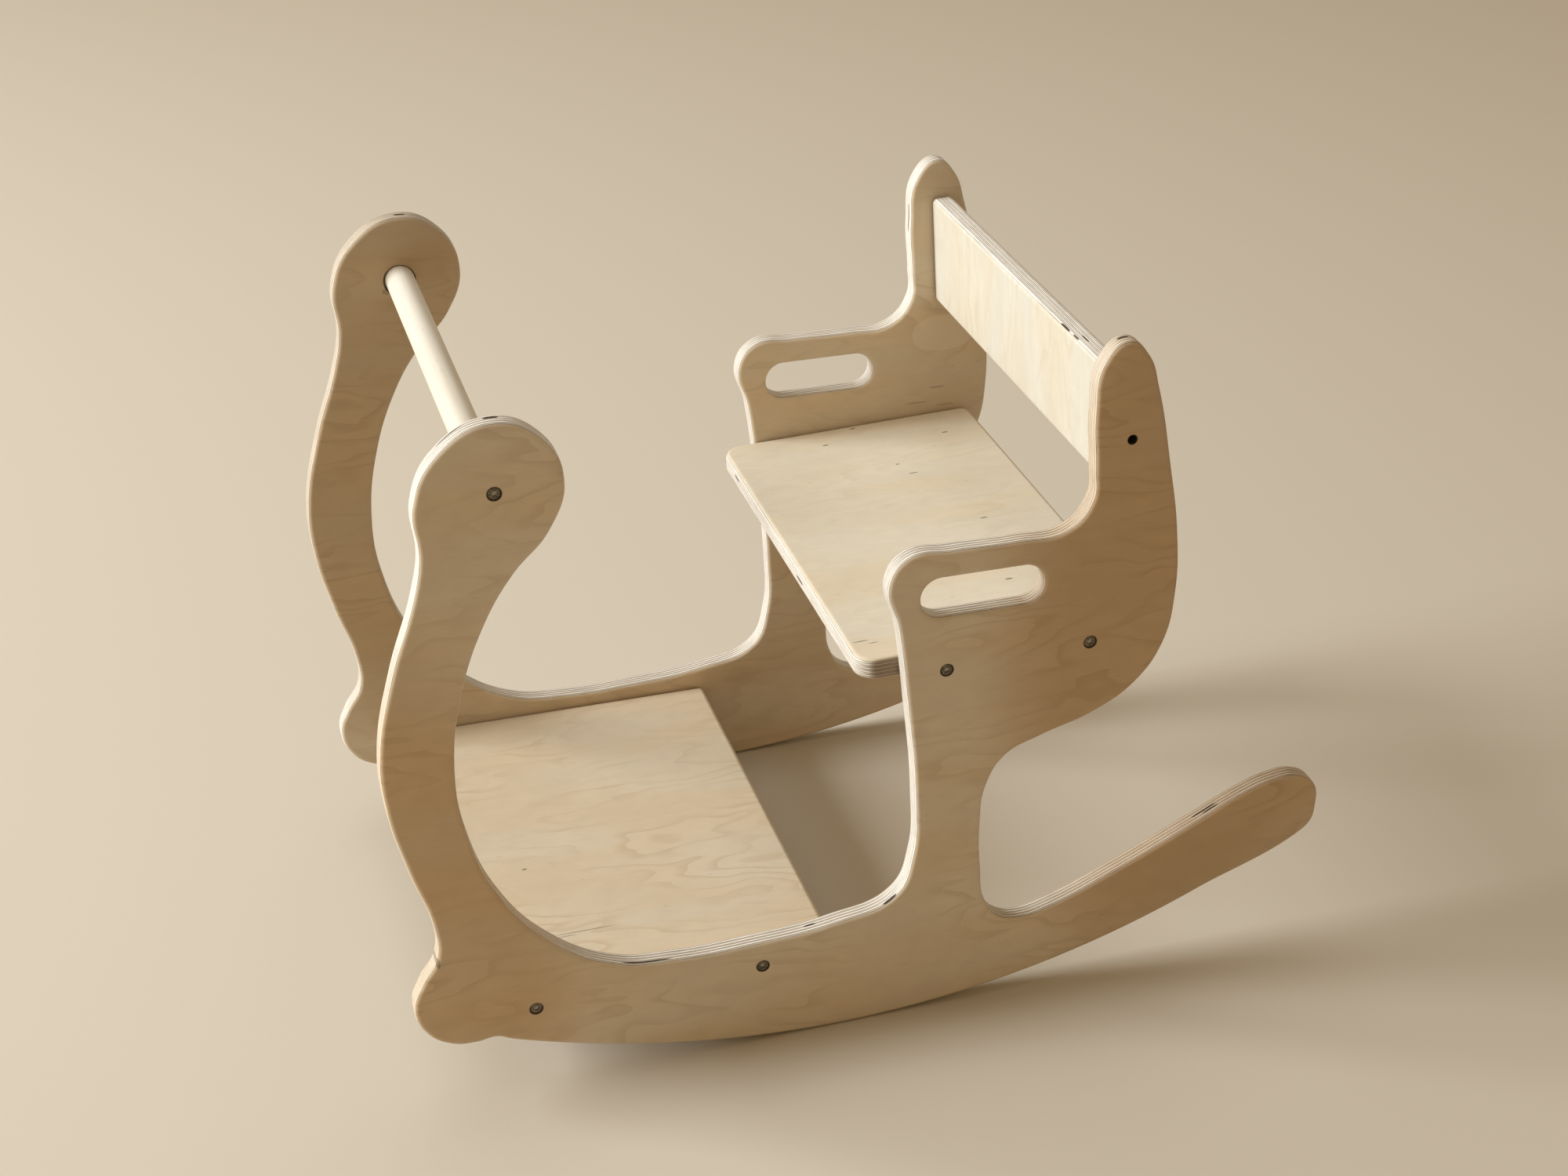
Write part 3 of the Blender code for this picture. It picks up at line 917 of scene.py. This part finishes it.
@dataclass
class SidePanel:
    """A scroll-cut side panel, in drawing millimetres.

    LOW outlines give their height above the rocker's circle, the others above the ground.
    """

    thickness: float = 15.0
    edge: float = 3.5
    rocker_radius: float = 640.0
    rocker_middle: float = -206.5
    rocker_angles: tuple[float, float] = (20.1, -24.4)
    slot_length: float = 82.0
    slot_width: float = 27.0
    slot_place: tuple[float, float] = (-302.0, 319.0)
    socket: Four = (1.1, 431.3, 11.2, 6.0)
    low_tail: tuple = ((-541.0, -7.0), (-551.0, -4.0), (-553.5, 6.0), (-551.0, 26.0),
                       (-537.0, 45.0), (-517.0, 56.0), (-497.0, 60.0), (-460.0, 59.0),
                       (-404.0, 53.0), (-357.0, 47.0), (-338.0, 47.5), (-322.5, 54.5))
    rear_bay: tuple = ((-311.0, 81.5), (-307.5, 107.0), (-306.0, 144.0), (-309.0, 172.0),
                       (-321.5, 193.5), (-345.0, 204.0), (-382.0, 216.0), (-410.0, 233.5),
                       (-428.0, 260.0), (-434.5, 297.0))
    backrest: tuple = ((-432.5, 341.0), (-424.5, 388.0), (-412.5, 444.0), (-405.0, 465.0),
                       (-391.0, 476.5), (-375.5, 464.5), (-371.0, 430.0), (-373.0, 393.0),
                       (-372.5, 371.0))
    armrest: tuple = ((-357.0, 353.0), (-325.0, 350.5), (-280.0, 351.0), (-251.5, 349.5),
                      (-239.5, 332.5))
    upright: tuple = ((-246.0, 303.0), (-253.0, 248.0), (-260.0, 172.0), (-259.0, 126.0),
                      (-247.5, 97.5))
    front_bay: tuple = ((-205.0, 84.0), (-150.0, 79.0), (-95.0, 78.5), (-58.0, 84.0),
                        (-19.0, 108.5), (13.0, 150.0), (32.5, 209.0), (35.5, 250.0),
                        (28.0, 301.0), (10.0, 349.5))
    head: tuple = ((-8.0, 378.0), (-31.0, 403.5), (-41.5, 435.0), (-29.0, 464.0), (0.0, 476.5),
                   (32.5, 460.0), (47.5, 430.5), (46.5, 396.0))
    neck: tuple = ((52.5, 368.0), (68.0, 322.0), (80.0, 268.0), (79.0, 228.0), (69.0, 181.0))
    hoof: tuple = ((57.5, 140.0), (57.0, 113.0), (68.0, 94.0), (74.0, 77.0))
    low_hoof: tuple = ((67.5, -5.5), (52.0, -10.5), (36.0, -6.0), (23.0, 0.5))

    def circle(self, x: float) -> float:
        """Return the height of the rocker's circle at a place along the horse."""
        return self.rocker_radius - math.sqrt(self.rocker_radius ** 2
                                              - (x - self.rocker_middle) ** 2)

    def outline(self) -> list[Vector]:
        """Return the whole outline in metres, clockwise from the front of the rocker."""
        front, rear = self.rocker_angles
        points = []
        for step in range(ARC_STEPS + 1):
            angle = math.radians(front + (rear - front) * step / ARC_STEPS)
            points.append((self.rocker_middle + self.rocker_radius * math.sin(angle),
                           self.rocker_radius * (1.0 - math.cos(angle))))
        points += [(x, self.circle(x) + rise) for x, rise in self.low_tail]
        for run in (self.rear_bay, self.backrest, self.armrest, self.upright, self.front_bay,
                    self.head, self.neck, self.hoof):
            points += run
        points += [(x, self.circle(x) + rise) for x, rise in self.low_hoof]
        return [Vector((x * MM, z * MM)) for x, z in points]

    def slot(self) -> list[Vector]:
        """Return the hand slot's outline in metres."""
        reach, radius = (self.slot_length - self.slot_width) / 2, self.slot_width / 2
        points = []
        for step in range(SLOT_STEPS):
            angle = math.tau * (step + 0.5) / SLOT_STEPS - math.pi / 2
            offset = math.copysign(reach, math.cos(angle))
            points.append(Vector(((self.slot_place[0] + offset + radius * math.cos(angle)) * MM,
                                  (self.slot_place[1] + radius * math.sin(angle)) * MM)))
        return points

    def build(self, side: Side, stance: Stance, space: float, fastenings: list[Fastening],
              material: bpy.types.Material) -> None:
        """Build and dress the panel of one side.

        Args:
            side: Which side.
            stance: Where the drawing stands.
            space: The clear width between the panels.
            fastenings: The screw places.
            material: The panel's birch.
        """
        node = f"side_panel_{side.word}"
        upright = Matrix.Rotation(math.pi / 2, 4, "X")
        middle = side.value * (space + self.thickness) / 2
        panel = Workshop.plate(node + "_birch", [(self.outline(), True), (self.slot(), False)],
                               self.thickness * MM, self.edge * MM,
                               stance.matrix(0.0, middle, 0.0) @ upright)
        cutters = [spot.bore(stance, side, space / 2 + self.thickness) for spot in fastenings]
        x, z, radius, depth = self.socket
        profile = [(0.0, -depth), (radius, -depth), (radius + 0.4, depth), (0.0, depth)]
        inward = Matrix.Rotation(side.value * math.pi / 2, 4, "X")
        cutters.append(Workshop.turned(f"socket_{side.word}", profile, SOCKET_SIDES,
                                       stance.matrix(x, side.value * space / 2, z) @ inward))
        panel = Workshop.cut(panel, cutters)
        Workshop.finish(panel, node, "birch_panel", material)


@dataclass
class Board:
    """A board between the panels, in millimetres.

    Attributes:
        node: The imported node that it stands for.
        depth: From front to rear edge.
        place: Its middle in the drawing.
        pitch: Its pitch in radians.
        corners: The corner radius at the front and at the rear.
        screws: Each screw's name and its place along the board.
        size: The screw that holds it.
    """

    node: str
    depth: float
    place: tuple[float, float]
    pitch: float
    corners: tuple[float, float]
    screws: dict[str, float]
    size: Screw = field(default_factory=Screw)
    thickness: float = 15.0
    edge: float = 3.5
    play: float = 0.3

    def matrix(self, stance: Stance) -> Matrix:
        """Return the board's own placement in the frame."""
        return stance.matrix(self.place[0], 0.0, self.place[1], self.pitch)

    def fastenings(self) -> list[Fastening]:
        """Return the board's screw places."""
        return [Fastening(name, self.size, self.place[0] + along * math.cos(self.pitch),
                          self.place[1] - along * math.sin(self.pitch))
                for name, along in self.screws.items()]

    def outline(self, width: float) -> list[Vector]:
        """Return the board's outline in metres, seen from above."""
        points = []
        for quarter, (x, y) in enumerate(((1, 1), (-1, 1), (-1, -1), (1, -1))):
            radius = self.corners[0] if x > 0 else self.corners[1]
            centre = Vector((x * (self.depth / 2 - radius), y * (width / 2 - radius)))
            for step in range(CORNER_STEPS + 1):
                angle = math.radians(90.0 * quarter + 90.0 * step / CORNER_STEPS)
                points.append((centre + radius * Vector((math.cos(angle), math.sin(angle)))) * MM)
        return points

    def build(self, stance: Stance, space: float, half_width: float,
              material: bpy.types.Material) -> None:
        """Build and dress the board.

        Args:
            stance: Where the drawing stands.
            space: The clear width between the panels.
            half_width: From the horse's middle to a panel's outer face.
            material: The board's birch.
        """
        board = Workshop.plate(self.node + "_birch", [(self.outline(space - 2 * self.play), False)],
                               self.thickness * MM, self.edge * MM, self.matrix(stance))
        cutters = [spot.bore(stance, side, half_width) for side in Side
                   for spot in self.fastenings()]
        board = Workshop.cut(board, cutters)
        Workshop.finish(board, self.node, "birch_board", material)


@dataclass
class Handle:
    """The round handle, whose ends stand in blind sockets, in millimetres."""

    radius: float = 10.0
    place: tuple[float, float] = (0.9, 432.0)
    half_length: float = 170.7
    chamfer: float = 0.8
    screw_offset: tuple[float, float] = (-0.7, 0.7)

    def fastening(self) -> Fastening:
        """Return the screw place at the handle's end."""
        return Fastening("head", Screw(), self.place[0] + self.screw_offset[0],
                         self.place[1] + self.screw_offset[1])

    def build(self, stance: Stance, half_width: float, material: bpy.types.Material) -> None:
        """Build and dress the handle.

        Args:
            stance: Where the drawing stands.
            half_width: From the horse's middle to a panel's outer face.
            material: Its wood.
        """
        end, inner = self.half_length, self.radius - self.chamfer
        profile = [(0.0, end), (inner, end), (self.radius, end - self.chamfer)]
        profile += [(self.radius, end * (1 - step / 4)) for step in range(1, 8)]
        profile += [(self.radius, self.chamfer - end), (inner, -end), (0.0, -end)]
        turn = Matrix.Rotation(math.pi / 2, 4, "X")
        bar = Workshop.turned("handle_bar_beech", profile, HANDLE_SIDES,
                              stance.matrix(self.place[0], 0.0, self.place[1]) @ turn)
        bar = Workshop.cut(bar, [self.fastening().bore(stance, side, half_width) for side in Side])
        Workshop.finish(bar, "handle_bar", "beech_dowel", material)


@dataclass
class RockingHorse:
    """The whole horse."""

    space: float = 330.0
    tilt: float = math.radians(-0.81)
    panel: SidePanel = field(default_factory=SidePanel)
    handle: Handle = field(default_factory=Handle)
    seat: Board = field(default_factory=lambda: Board(
        "seat_board", 193.5, (-322.2, 268.1), math.radians(2.3), (15.0, 8.0),
        {"seat_front": 43.4, "seat_rear": -54.0}))
    foot: Board = field(default_factory=lambda: Board(
        "foot_board", 248.0, (-82.0, 61.0), 0.0, (4.0, 4.0),
        {"foot_front": 78.4, "foot_rear": -73.6}))
    back: Board = field(default_factory=lambda: Board(
        "back_board", 80.0, (-396.2, 409.3), math.radians(3.3 - 90.0), (4.0, 4.0),
        {"back": 1.5}, Screw(head=2.7, rim=0.4, head_depth=1.8, shank=1.75, length=35.0,
                             sink=9.0, key=1.2, key_depth=1.4)))

    def panel_birch(self, side: Side, stance: Stance,
                    fastenings: list[Fastening]) -> bpy.types.Material:
        """Return a side panel's birch, with its own marks and painted shade in and round the screw
        holes.

        Args:
            side: Which panel.
            stance: Where the drawing stands.
            fastenings: The screw places.

        Returns:
            The material.
        """
        middle = side.value * (self.space + self.panel.thickness) / 2
        marks = LEFT_MARKS if side is Side.LEFT else RIGHT_MARKS
        # Painted shade: a dark disc on the panel at each screw, in the hole and just round its
        # mouth.
        marks += tuple(Mark(spot.x, spot.z, spot.size.head + 1.2, spot.size.head + 1.2, None, 1.0)
                       for spot in fastenings)
        birch = Birch(f"birch_panel_{side.word}", stance.matrix(0.0, middle, 0.0), True,
                      marks=marks, painted_shades=LEFT_PAINTED_SHADES, seed=2.0)
        if side is Side.RIGHT:
            birch = replace(birch, painted_shades=RIGHT_PAINTED_SHADES, seed=11.0,
                            patches=((-398.5, 342.0, 25.0, 14.5),))
        return birch.material()

    def build(self) -> None:
        """Build every piece and dress it."""
        stance = Stance.from_handle(self.tilt, self.handle.place)
        half_width = self.space / 2 + self.panel.thickness
        boards = (self.seat, self.foot, self.back)
        fastenings = [self.handle.fastening()]
        for board in boards:
            fastenings += board.fastenings()
        zinc = Zinc().material()
        for side in Side:
            self.panel.build(side, stance, self.space, fastenings,
                             self.panel_birch(side, stance, fastenings))
            for spot in fastenings:
                spot.build(stance, side, half_width, zinc)
        for board, face, contrast, marks, seed in (
                (self.seat, (0.740, 0.675, 0.550), 0.13, SEAT_MARKS, 43.0),
                (self.foot, (0.620, 0.530, 0.400), 0.50, FOOT_MARKS, 19.0),
                (self.back, (0.615, 0.588, 0.505), 0.24, BACK_MARKS, 19.0)):
            birch = Birch("birch_" + board.node, board.matrix(stance), False, face, marks=marks,
                          seed=seed, contrast=contrast, ends=self.space / 2 - board.play)
            board.build(stance, self.space, half_width, birch.material())
        self.handle.build(stance, half_width, Beech().material())


@dataclass
class Studio:
    """A pale floor, soft light and the camera.

    Attributes:
        camera_place: The camera's place in metres.
        camera_turn: Its turn about X, Y and Z in degrees.
        lens: Its focal length in millimetres.
        sensor: The width of its sensor in millimetres.
        floor_reach: Half the floor's width in metres.
        warm: The room's light.
        warmth: How strong that light is.
        wall: What shows where the room itself is seen.
    """

    camera_place: Three = (0.4214, 1.4400, 1.0749)
    camera_turn: Three = (60.8305, 1.1519, 163.4499)
    lens: float = 56.84
    sensor: float = 36.0
    floor_reach: float = 20.0
    warm: Four = (1.0, 0.74, 0.43, 1.0)
    warmth: float = 0.36
    wall: Four = (0.62, 0.60, 0.57, 1.0)

    def floor(self) -> None:
        """Lay the floor."""
        sheet = bmesh.new()
        bmesh.ops.create_grid(sheet, x_segments=8, y_segments=8, size=self.floor_reach)
        mesh = bpy.data.meshes.new("floor")
        sheet.to_mesh(mesh)
        sheet.free()
        mesh.materials.append(Paper().material())
        Workshop.link("floor", mesh)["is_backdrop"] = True

    def lamp(self, name: str, place: Three, aim: Three, size: float, power: float,
             colour: Three) -> None:
        """Hang a square soft light.

        Args:
            name: The light's name.
            place: Where it hangs, in metres.
            aim: The point that it shines at.
            size: The length of its sides in metres.
            power: Its power in watts.
            colour: Its colour.
        """
        light = bpy.data.lights.new(name, "AREA")
        light.shape = "SQUARE"
        light.size = size
        light.energy = power
        light.color = colour
        lamp = Workshop.link(name, light)
        lamp.location = place
        lamp.rotation_euler = (Vector(aim) - Vector(place)).to_track_quat("-Z", "Y").to_euler()

    def room(self) -> bpy.types.World:
        """Return the room's warm light, with a pale wall where the room itself is seen."""
        world = bpy.data.worlds.new("room")
        world.use_nodes = True
        tree = world.node_tree
        warm = tree.nodes["Background"]
        warm.inputs["Color"].default_value = self.warm
        warm.inputs["Strength"].default_value = self.warmth
        pale = tree.nodes.new("ShaderNodeBackground")
        pale.inputs["Color"].default_value = self.wall
        rays = tree.nodes.new("ShaderNodeLightPath")
        mix = tree.nodes.new("ShaderNodeMixShader")
        tree.links.new(rays.outputs["Is Camera Ray"], mix.inputs[0])
        tree.links.new(warm.outputs[0], mix.inputs[1])
        tree.links.new(pale.outputs[0], mix.inputs[2])
        tree.links.new(mix.outputs[0], tree.nodes["World Output"].inputs["Surface"])
        return world

    def build(self) -> None:
        """Set the studio up."""
        self.floor()
        self.lamp("window", (5.0, -1.3, 2.65), (0.0, 0.0, 0.25), 2.8, 440.0, (0.93, 0.975, 1.0))
        self.lamp("sky", (0.2, -0.6, 2.6), (0.0, 0.0, 0.2), 2.2, 17.0, (0.84, 0.92, 1.0))
        bpy.context.scene.world = self.room()
        bpy.context.scene.view_settings.view_transform = "Standard"
        data = bpy.data.cameras.new("camera")
        data.lens = self.lens
        data.sensor_width = self.sensor
        camera = Workshop.link("camera", data)
        camera.location = self.camera_place
        camera.rotation_euler = [math.radians(angle) for angle in self.camera_turn]
        bpy.context.scene.camera = camera


def corners(bounds: Iterable) -> list[list[float]]:
    """Return the two corners of a box as plain lists."""
    return [[float(value) for value in corner] for corner in bounds]


def main() -> None:
    """Build the horse and the studio, and work out both boxes."""
    logging.basicConfig(level=logging.INFO, format="%(name)s: %(message)s")
    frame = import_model()
    LOG.info("frame: %d nodes", len(frame["nodes"]))
    packed = corners(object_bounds())
    RockingHorse().build()
    Studio().build()
    {"packed": packed, "shown": corners(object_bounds())}


if __name__ == "__main__":
    main()
